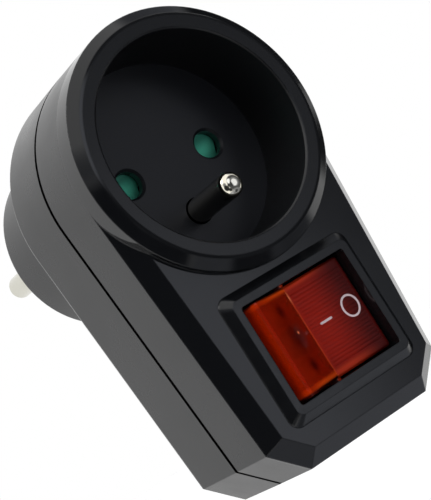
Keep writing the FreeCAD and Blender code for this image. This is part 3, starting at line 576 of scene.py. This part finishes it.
# Painted light along the long edges, brightest beside the crease, and painted shade past them.
side_light = ruby.blend(off_crease, (1.0, 0.105, 0.008), (0.48, 0.028, 0.0015))
clear_part = ruby.blend(at_side, clear_part, side_light)
clear_part = ruby.blend(shade_past_edge, clear_part, (0.07, 0.005, 0.002))
milky = ruby.blend(flow, (0.45, 0.0120, 0.0020), (0.50, 0.0150, 0.0030))
milky = ruby.blend(at_side, milky, (0.90, 0.060, 0.014))
# Painted shade on the marked wing, growing toward the frame.
milky = ruby.blend(frame_shade, milky, (0.105, 0.004, 0.003))
tinted = ruby.blend(on_marked, clear_part, milky)
# A thin painted highlight along the crease, then the two painted glints.
crease_share = ruby.sums("MULTIPLY", at_crease, 0.45)
tinted = ruby.blend(crease_share, tinted, (0.9, 0.17, 0.06))
ruby.feed("Base Color", ruby.blend(glint, tinted, (1.0, 0.30, 0.12)))
ruby.feed("Roughness", ruby.zone(on_marked, ruby.squeeze(flow, 0.10, 0.15), 0.28))
see_through = ruby.zone(at_side, ruby.zone(at_end, 0.80, 0.50), 0.25)
see_through = ruby.zone(on_marked, see_through, 0.30)
solid_looking = ruby.sums("MAXIMUM", at_crease, glint)
ruby.feed("Transmission Weight", ruby.zone(solid_looking, see_through, 0.0))
ruby.relief(flow, 0.000010, ruby.rounded_edges(ruby.zone(on_marked, 0.0, 0.0005)))
ruby.set(IOR=1.49, Specular_IOR_Level=0.12)
wear(ruby, "rocker")

# %% [markdown]
# ## Metals
#
# The pins are brass with a bright nickel plate, the strips inside are bare rolled brass,
# the springs are drawn wire and the screws are zinc plated. A metal's colour is its
# reflection, so each finish differs from the next in tint, in how rough it is and in the
# direction of its fine scratches: round turned pins are scratched round their axis, strip
# along its length. A noise stretched along one axis draws such scratches. The earth pin's
# tip is a small dome with a worn flat in its middle. The solid has it in flat facets, which
# a mirror shows at once, so its finish works out which way a true round tip would face. The
# pin's shaft is painted a duller tint than its tip, as painted shade, with a dark ring of
# painted shade where it leaves the floor. The crosses in the screw heads have painted shade
# where the face lies deep: at the bottom of each cross and round the edge of the head.

# %% Work out which way a round tip faces


def round_tip(finish, centre, stretch, flat, shoulder):
    """The way a rod along Y with a round tip faces. It is the offset from the centre of the
    tip's dome, with Y stretched and cut to nothing on the plain rod. Within the shoulder's
    distance of the axis the sideways part gives way smoothly to a small fixed one, which
    makes the middle of the tip a flat, a little out of square."""
    offset = finish.vector_step("SUBTRACT", finish.place, centre)["Vector"]
    parts = finish.nodes.new("ShaderNodeSeparateXYZ")
    finish.links.new(offset, parts.inputs["Vector"])
    ahead = finish.nodes.new("ShaderNodeCombineXYZ")
    outward = finish.sums("MINIMUM", parts.outputs["Y"], 0.0)
    finish.put(finish.sums("MULTIPLY", outward, stretch), ahead.inputs["Y"])
    lateral = finish.vector_step("MULTIPLY", offset, (1.0, 0.0, 1.0))["Vector"]
    from_axis = finish.vector_step("LENGTH", lateral)["Value"]
    off_flat = finish.soft_step(from_axis, 0.0, shoulder)
    sideways = finish.mixed("VECTOR", off_flat, flat, lateral)
    whole = finish.vector_step("ADD", sideways, ahead.outputs["Vector"])["Vector"]
    turned = finish.nodes.new("ShaderNodeVectorTransform")
    turned.vector_type = "NORMAL"
    turned.convert_from = "OBJECT"
    turned.convert_to = "WORLD"
    finish.put(finish.vector_step("NORMALIZE", whole)["Vector"], turned.inputs["Vector"])
    return turned.outputs["Vector"]


pin_tip = {"centre": (0.0, -0.0295, -0.010), "stretch": 1.5,
           "flat": (-0.00020, 0.0, -0.00013), "shoulder": 0.0015}
print("dome of the earth pin's tip about", pin_tip["centre"])

# %% Finish of pins, strips, springs and screws
scratch_depth = 0.000003


def metal(name, tint, dark_tint, low, high, stretch, tip=None):
    """A metal whose tint and roughness vary with a noise stretched along the scratches."""
    finish = Finish(name)
    scratch = finish.noise(0.0004, 4.0, stretch)
    stain = finish.noise(0.004, 3.0)
    finish.set(Metallic=1.0)
    finish.feed("Base Color", finish.blend(stain, dark_tint, tint))
    finish.feed("Roughness", finish.squeeze(scratch, low, high))
    finish.relief(scratch, scratch_depth, round_tip(finish, **tip) if tip else None)
    return finish


nickel = metal("bright_nickel", (0.66, 0.65, 0.58), (0.58, 0.57, 0.50), 0.12, 0.24, (1, 6, 1))
wear(nickel, "left_plug_pin", "right_plug_pin", "plug_earth_tube")
pin_coat = metal("earth_pin_nickel", (0.94, 0.90, 0.78), (0.86, 0.81, 0.68), 0.07, 0.13, (1, 6, 1),
                 pin_tip)
root_end = -0.01722
_, pin_depth, _ = pin_coat.axes()
# Painted shade: the shaft a duller tint than the tip, and a dark ring where it leaves the floor.
at_root = pin_coat.sums("GREATER_THAN", pin_depth, root_end)
on_shaft = pin_coat.soft_step(pin_depth, -0.0300, -0.0288)
tint = pin_coat.blend(on_shaft, pin_coat.fed("Base Color"), (0.46, 0.45, 0.42))
pin_coat.feed("Base Color", pin_coat.blend(at_root, tint, (0.004, 0.004, 0.004)))
wear(pin_coat, "socket_earth_pin")
brass = metal("rolled_brass", (0.78, 0.58, 0.27), (0.62, 0.44, 0.18), 0.22, 0.38, (6, 6, 1))
wear(brass, "earth_bridge", "left_supply_bar", "right_supply_bar", "left_load_bar",
     "right_load_bar", "left_socket_contact", "right_socket_contact",
     "upper_common_terminal", "lower_common_terminal", "upper_load_terminal",
     "lower_load_terminal", "upper_contact_blade", "lower_contact_blade")
wire = metal("drawn_wire", (0.62, 0.62, 0.63), (0.48, 0.48, 0.49), 0.18, 0.30, (1, 1, 4))
wear(wire, "shutter_spring", "plunger_springs")
zinc = metal("zinc_plate", (0.60, 0.61, 0.64), (0.48, 0.49, 0.50), 0.25, 0.42, (3, 3, 3))
_, screw_depth, _ = zinc.axes()
# Painted shade: the zinc turns dark where it lies deep, as at the bottoms of the crosses and round
# the edge of each head.
above_cross = zinc.soft_step(screw_depth, -0.00600, -0.00572)
zinc.feed("Base Color", zinc.blend(above_cross, (0.06, 0.06, 0.065), zinc.fed("Base Color")))
wear(zinc, "housing_screws")

# %% [markdown]
# ## Shutter, lamp and the small parts of the switch
#
# The child shutter is satin green plastic, lit only through the two pin holes. The upper
# ends of its ramps lie in the shade of the holes' edges and are a darker green. The lamp is
# a glass bulb, the resistor a lacquered rod with colour rings, and the plungers are dark
# moulded pins. The rings are drawn by the height along the rod: wherever it falls between
# two values the colour changes.

# %% Finish of the shutter
green = Finish("satin_green")
mottle = green.noise(0.0012, 3.0)
lit_green = green.blend(mottle, (0.14, 0.86, 0.60), (0.17, 0.94, 0.66))
_, _, up_the_ramp = green.axes()
in_shade = green.soft_step(up_the_ramp, -0.0010, 0.0020)
green.feed("Base Color", green.blend(in_shade, lit_green, (0.035, 0.22, 0.16)))
green.feed("Roughness", green.squeeze(mottle, 0.28, 0.42))
green.relief(green.noise(0.0003, 2.0), 0.000006)
wear(green, "shutter_slider")

# %% Finish of the bulb, the plungers and the resistor
bulb = Finish("clear_bulb")
streak = bulb.noise(0.0015, 2.0)
bulb.feed("Base Color", bulb.blend(streak, (0.95, 0.90, 0.86), (1.0, 0.97, 0.94)))
bulb.feed("Roughness", bulb.squeeze(streak, 0.01, 0.05))
bulb.set(IOR=1.5, Transmission_Weight=0.9)
bulb.relief(streak, 0.000008)
wear(bulb, "neon_lamp")

plunger = Finish("dark_satin")
rub = plunger.noise(0.0008, 3.0)
plunger.feed("Base Color", plunger.blend(rub, (0.02, 0.016, 0.014), (0.035, 0.028, 0.025)))
plunger.feed("Roughness", plunger.squeeze(rub, 0.3, 0.45))
plunger.relief(rub, 0.000006)
wear(plunger, "upper_plunger", "lower_plunger")

resistor = Finish("ringed_lacquer")
_, _, height = resistor.axes()
colour = resistor.blend(resistor.noise(0.0006, 3.0), (0.55, 0.42, 0.26), (0.66, 0.52, 0.34))
ring_half_width = 0.00025
ring_colours = ((-0.0412, (0.35, 0.02, 0.01)), (-0.0402, (0.25, 0.03, 0.30)),
                (-0.0392, (0.55, 0.30, 0.02)), (-0.0373, (0.45, 0.28, 0.08)))
for ring_place, ring_colour in ring_colours:
    in_ring = resistor.below(resistor.apart(height, ring_place), ring_half_width)
    colour = resistor.blend(in_ring, colour, ring_colour)
resistor.feed("Base Color", colour)
resistor.feed("Roughness", resistor.squeeze(resistor.noise(0.001, 2.0), 0.25, 0.4))
wear(resistor, "lamp_resistor")

# %% [markdown]
# ## Marks on the rocker
#
# The pressed wing carries a bar and a ring, printed in pale ink over its fine ribs. They
# could be drawn by the rocker's material, but ink lies on top of the plastic and catches
# the light by itself. So they are two very thin pieces with rounded edges. Both are worked
# out flat, as distances along and across the wing, and are then laid onto its slope.

# %% Where the pressed wing lies
pivot = np.array([0.0, -0.02415, -0.0391])
swing = math.radians(9.5)       # from level to pressed
valley = 0.0020                 # the crease above the pivot, with the rocker level
shoulder = 0.00597              # the wings' top corners above the pivot
end_reach = 0.0121              # from the pivot to the rocker's ends
corner_out = end_reach / math.cos(swing) - shoulder * math.tan(swing)
wing_rise = math.atan2(shoulder - valley, corner_out)


def on_wing(along, across, lift):
    """Points on the pressed wing: a distance along its slope from the crease, a distance
    across it from the switch's centre and a lift off its surface. The slope is laid out
    with the rocker level and is then turned about the pivot by the rocker's swing."""
    x = along * math.cos(wing_rise) - lift * math.sin(wing_rise)
    z = valley + along * math.sin(wing_rise) + lift * math.cos(wing_rise)
    x_turned = x * math.cos(swing) + z * math.sin(swing)
    z_turned = -x * math.sin(swing) + z * math.cos(swing)
    return np.stack([pivot[0] + x_turned, pivot[1] - z_turned, pivot[2] + across], axis=-1)


print("wing length %.2f mm" % (corner_out / math.cos(wing_rise) * 1000))

# %% Shape the bar and the ring


def ink_ring(centre, half_long, half_wide, stroke, thickness, steps=96, around=10):
    """A closed band of ink about an ellipse: the middle line is the ellipse, and the
    section about it is a flat oval, one cosine out along the radius and one sine up."""
    turn = np.linspace(0, 2 * np.pi, steps, endpoint=False)[:, None]
    oval = np.linspace(0, 2 * np.pi, around + 1)[None, :]
    out = stroke / 2 * np.cos(oval)
    up = thickness * (0.5 + 0.5 * np.sin(oval))
    return on_wing(centre[0] + (half_long + out) * np.cos(turn),
                   centre[1] + (half_wide + out) * np.sin(turn), up + 0 * turn)


def ink_bar(centre, length, stroke, thickness, steps=60, rings=8):
    """A bar with round ends: its outline is a straight line swollen by half the stroke. From
    its middle the top falls to the outline as the square root of 1 minus the fourth power
    of the way out, and the last column is the middle of the flat underside."""
    turn = np.linspace(0, 2 * np.pi, steps, endpoint=False)[:, None]
    share = np.append(np.linspace(0, 1, rings), 0.0)[None, :]
    spine = (length - stroke) / 2 * np.clip(3 * np.cos(turn), -1, 1)
    lift = thickness * np.sqrt(np.clip(1 - share ** 4, 0, 1))
    lift[0, -1] = 0.0
    return on_wing(centre[0] + share * (spine + stroke / 2 * np.cos(turn)),
                   centre[1] + share * (stroke / 2 * np.sin(turn)), lift + 0 * turn)


ink_thickness = 0.00005
ring = ink_ring(centre=(0.00918, 0.0003), half_long=0.00160, half_wide=0.00198,
                stroke=0.00040, thickness=ink_thickness)
bar = ink_bar(centre=(0.00362, 0.0003), length=0.0027, stroke=0.00048, thickness=ink_thickness)
print("points of the ring", ring.shape[:2], "and of the bar", bar.shape[:2])

# %% Print the bar and the ring
ink = Finish("pale_ink")
spread_ink = ink.noise(0.0005, 3.0)
ink.feed("Base Color", ink.blend(spread_ink, (0.72, 0.55, 0.58), (0.80, 0.64, 0.66)))
ink.feed("Roughness", ink.squeeze(spread_ink, 0.3, 0.5))
ink.relief(spread_ink, 0.000004)
mark_off = grid_piece("mark_off", ring, closed_round=True)
mark_on = grid_piece("mark_on", bar, closed_round=True)
for mark in (mark_off, mark_on):
    mark.data.materials.append(ink.material)
    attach(mark, "rocker")
    print(mark.name, "faces", len(mark.data.polygons))

# %% [markdown]
# ## Inside the lamp
#
# A glow lamp is nothing without its two electrodes, thin rods side by side in the glass.
# Each is a tube: a circle carried along a line, with its ends drawn in to a point.

# %% Put the electrodes into the bulb
lamp_low, lamp_high = (np.array(corner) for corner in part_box("neon_lamp"))
lamp_middle = (lamp_low + lamp_high) / 2


def round_rod(centre, radius, length, steps=16, around=20):
    """A rod along Z: a circle whose radius follows the square root of 1 minus the sixth
    power of the way along, so that it stays full and closes at both ends."""
    way = np.linspace(-1, 1, steps)[None, :]
    turn = np.linspace(0, 2 * np.pi, around, endpoint=False)[:, None]
    wide = radius * np.sqrt(np.clip(1 - way ** 6, 0, 1))
    return np.stack([centre[0] + wide * np.cos(turn), centre[1] + wide * np.sin(turn),
                     centre[2] + length / 2 * way + 0 * turn], axis=-1)


off_middle = 0.0006
for side, name in ((-1, "left_electrode"), (1, "right_electrode")):
    rod_centre = lamp_middle + np.array([side * off_middle, 0.0, 0.0])
    rod = round_rod(rod_centre, radius=0.00022, length=0.0040)
    electrode = grid_piece(name, rod, closed_round=True)
    electrode.data.materials.append(wire.material)
    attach(electrode, "rocker")
    print(name, "at", [round(float(v) * 1000, 2) for v in rod_centre])

# %% [markdown]
# ## Screw faces
#
# The four screws are seen from behind, at the bottom of their wells. A driver needs a
# cross in each head, which the solids leave out. The cross could be cut with a boolean.
# Here the head's face is one height over a round grid: a low dome, less the depth of the
# cross wherever a point lies in one of its two arms. Screws never stop at the same angle,
# so each cross is turned by an angle of its own.

# %% Press the crosses into the screw faces


def screw_face(centre, turned, radius=0.0026, head=0.00055, cross=0.00050, steps=96, rings=26):
    """A low dome with a cross pressed in: its height falls to the edge as the square root
    of 1 minus the sixth power of the way out, less the cross where either arm is near. The
    last column is the middle of the flat underside."""
    turn = np.linspace(0, 2 * np.pi, steps, endpoint=False)[:, None]
    share = np.append(np.linspace(0, 1, rings), 0.0)[None, :]
    right = radius * share * np.cos(turn)
    up = radius * share * np.sin(turn)
    slope, half_arm, arm_reach = 0.00014, 0.00036, 0.00150
    across = np.clip((half_arm - np.abs(right)) / slope + 0.5, 0, 1)
    across = across * np.clip((arm_reach - np.abs(up)) / slope + 0.5, 0, 1)
    along = np.clip((half_arm - np.abs(up)) / slope + 0.5, 0, 1)
    along = along * np.clip((arm_reach - np.abs(right)) / slope + 0.5, 0, 1)
    lift = head * np.sqrt(np.clip(1 - share ** 6, 0, 1)) - cross * np.maximum(across, along)
    lift[:, -1] = 0.0
    return np.stack([centre[0] + right * math.cos(turned) - up * math.sin(turned),
                     centre[1] + lift,
                     centre[2] + right * math.sin(turned) + up * math.cos(turned)], axis=-1)


# Each head: its name, its place to the right and up, and the angle of its cross in radians.
head_depth = -0.0061
heads = (("upper_left_screw_face", -0.0184, -0.0185, 0.35),
         ("upper_right_screw_face", 0.0184, -0.0185, 1.20),
         ("lower_left_screw_face", -0.0125, -0.0536, 0.80),
         ("lower_right_screw_face", 0.0125, -0.0536, 0.10))
for name, screw_x, screw_z, turned in heads:
    face_points = screw_face((screw_x, head_depth, screw_z), turned)
    face = grid_piece(name, face_points, closed_round=True)
    face.data.materials.append(zinc.material)
    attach(face, "housing")
    print(name, "faces", len(face.data.polygons))

# %% [markdown]
# ## The spring of the child shutter
#
# A spring of thin wire pushes the shutter over the live holes. The solid has it six-sided
# and in short straight runs, so a rounder one takes its place here. It could be a curve
# with a bevel. A surface of two values, one along the wire and one round it, is as short.

# %% Wind the shutter's spring
spring_low, spring_high = (np.array(corner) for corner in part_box("shutter_spring"))


def wound_wire(low, high, wire_radius, turns, steps=32, around=10):
    """A spring along Z inside a box: a circle carried along a helix. The helix goes round
    at an even rate while it rises, and the circle closes to a point at both ends."""
    way = np.linspace(0, 1, turns * steps + 1)[None, :]
    section = np.linspace(0, 2 * np.pi, around, endpoint=False)[:, None]
    wire_here = wire_radius * np.sqrt(1 - np.abs(2 * way - 1) ** 400)
    middle = (low + high) / 2
    out = (high[0] - low[0]) / 2 - wire_radius + wire_here * np.cos(section)
    rise = low[2] + wire_radius + (high[2] - low[2] - 2 * wire_radius) * way
    turned = 2 * np.pi * turns * way
    return np.stack([middle[0] + out * np.cos(turned), middle[1] + out * np.sin(turned),
                     rise + wire_here * np.sin(section)], axis=-1)


windings = wound_wire(spring_low, spring_high, wire_radius=0.0002, turns=7)
coil = grid_piece("shutter_coil", windings, closed_round=True)
coil.data.materials.append(wire.material)
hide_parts("shutter_spring")
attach(coil, "housing")
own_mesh(coil)

# %% [markdown]
# ## The floor's finish, and the end
#
# The floor is matt and nearly white, with the faintest unevenness of paper.

# %% Finish the floor and close the scene
paper = Finish("pale_paper")
fibre = paper.noise(0.02, 3.0)
paper.feed("Base Color", paper.blend(fibre, (0.80, 0.80, 0.80), (0.84, 0.84, 0.84)))
paper.set(Roughness=0.9, Specular_IOR_Level=0.1, Emission_Color=(1.0, 1.0, 1.0, 1.0))
rays = paper.nodes.new("ShaderNodeLightPath").outputs
floor_glow = 0.3
paper.feed("Emission Strength", paper.sums("MULTIPLY", rays["Is Camera Ray"], floor_glow))
mirrored = paper.sums("MAXIMUM", rays["Is Glossy Ray"], rays["Is Transmission Ray"])
clear = paper.nodes.new("ShaderNodeBsdfTransparent")
either = paper.nodes.new("ShaderNodeMixShader")
paper.links.new(mirrored, either.inputs["Fac"])
paper.links.new(paper.shader.outputs["BSDF"], either.inputs[1])
paper.links.new(clear.outputs["BSDF"], either.inputs[2])
paper.links.new(either.outputs["Shader"], paper.nodes["Material Output"].inputs["Surface"])
floor.data.materials.append(paper.material)
